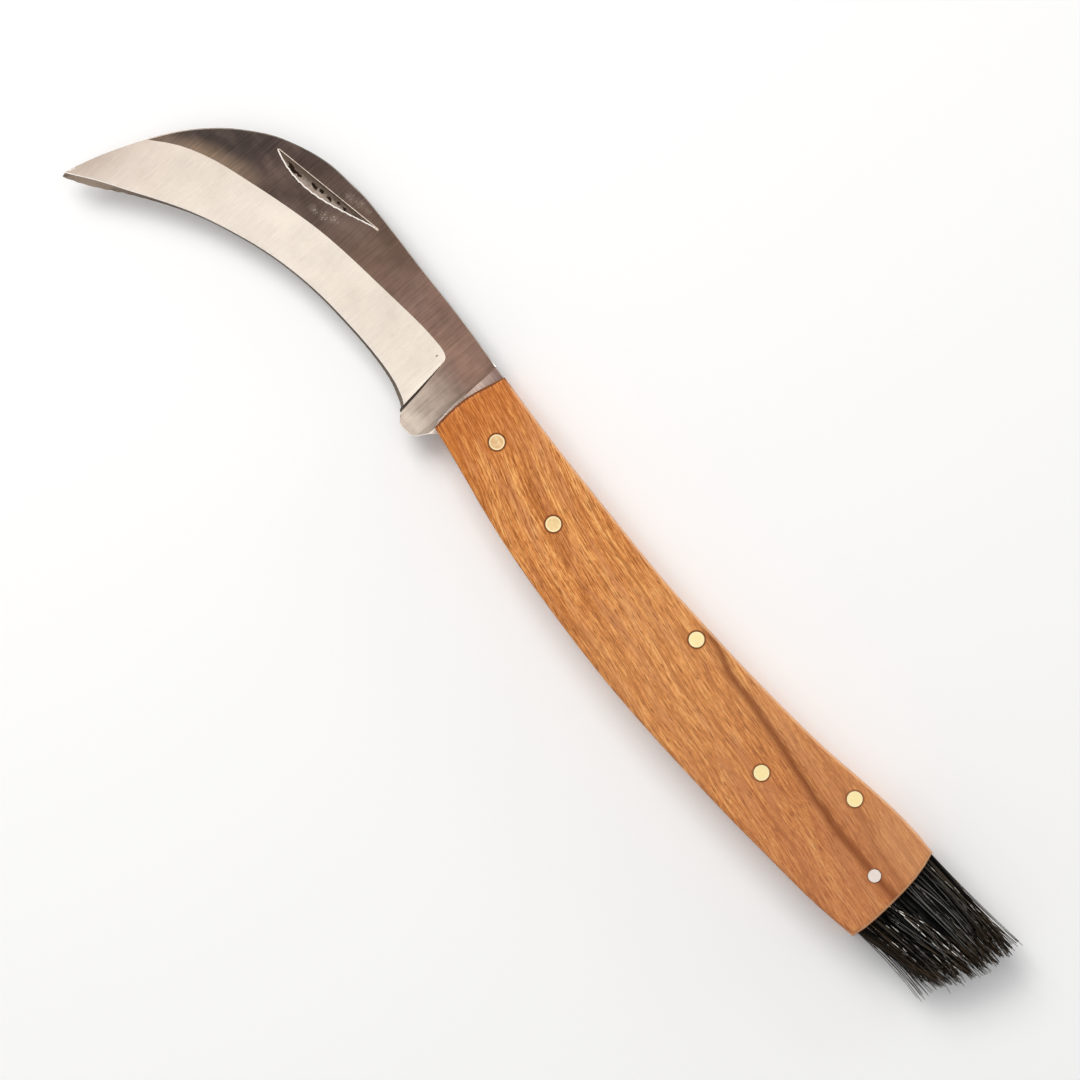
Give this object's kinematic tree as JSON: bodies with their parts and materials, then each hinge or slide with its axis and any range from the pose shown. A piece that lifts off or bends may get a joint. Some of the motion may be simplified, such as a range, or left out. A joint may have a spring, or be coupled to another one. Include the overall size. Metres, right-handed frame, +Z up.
{
  "type": "mushroom knife",
  "caption": "Folding mushroom knife: curved hawkbill blade on a pivot, wooden handle scales over steel liners, a back spring, and a bristle brush set in the handle's tail.",
  "frame": {"origin": "on the resting face of the right scale, 45 mm behind the blade's pivot, level with the pivot", "axes": "+X along the handle from the blade to the brush, +Y towards the back of the knife, +Z up out of the left scale"},
  "size_m": [0.2223, 0.0416, 0.0135],
  "materials": {
    "blade_steel": "satin, ground across the blade, bright hollow grind",
    "spring_steel": "satin",
    "liner_steel": "satin",
    "handle_wood": "oiled, straight grain with a dark streak",
    "pin_brass": "sanded flush, satin",
    "pin_steel": "sanded flush, satin",
    "brush_block": "matt black",
    "bristles": "stiff black hair with brown tips"
  },
  "bodies": {
    "handle": {"left_scale": "handle_wood", "right_scale": "handle_wood", "left_liner": "liner_steel", "right_liner": "liner_steel", "back_spring": "spring_steel", "pivot_pin": "pin_brass", "centre_spring_pin": "pin_brass", "rear_spring_pin": "pin_brass", "left_front_rivet": "pin_brass", "right_front_rivet": "pin_brass", "left_rear_rivet": "pin_brass", "right_rear_rivet": "pin_brass", "brush_pin": "pin_steel", "brush_block": "brush_block", "brush_bristles": "bristles"},
    "blade": {"blade": "blade_steel"}
  },
  "joints": [
    {"name": "blade_pivot", "type": "hinge", "parent": "handle", "child": "blade", "pos_m": [-0.045, 0, 0.00675], "axis": [0, 0, 1], "range_deg": [0, 158], "deforming": ["back_spring"]}
  ]
}
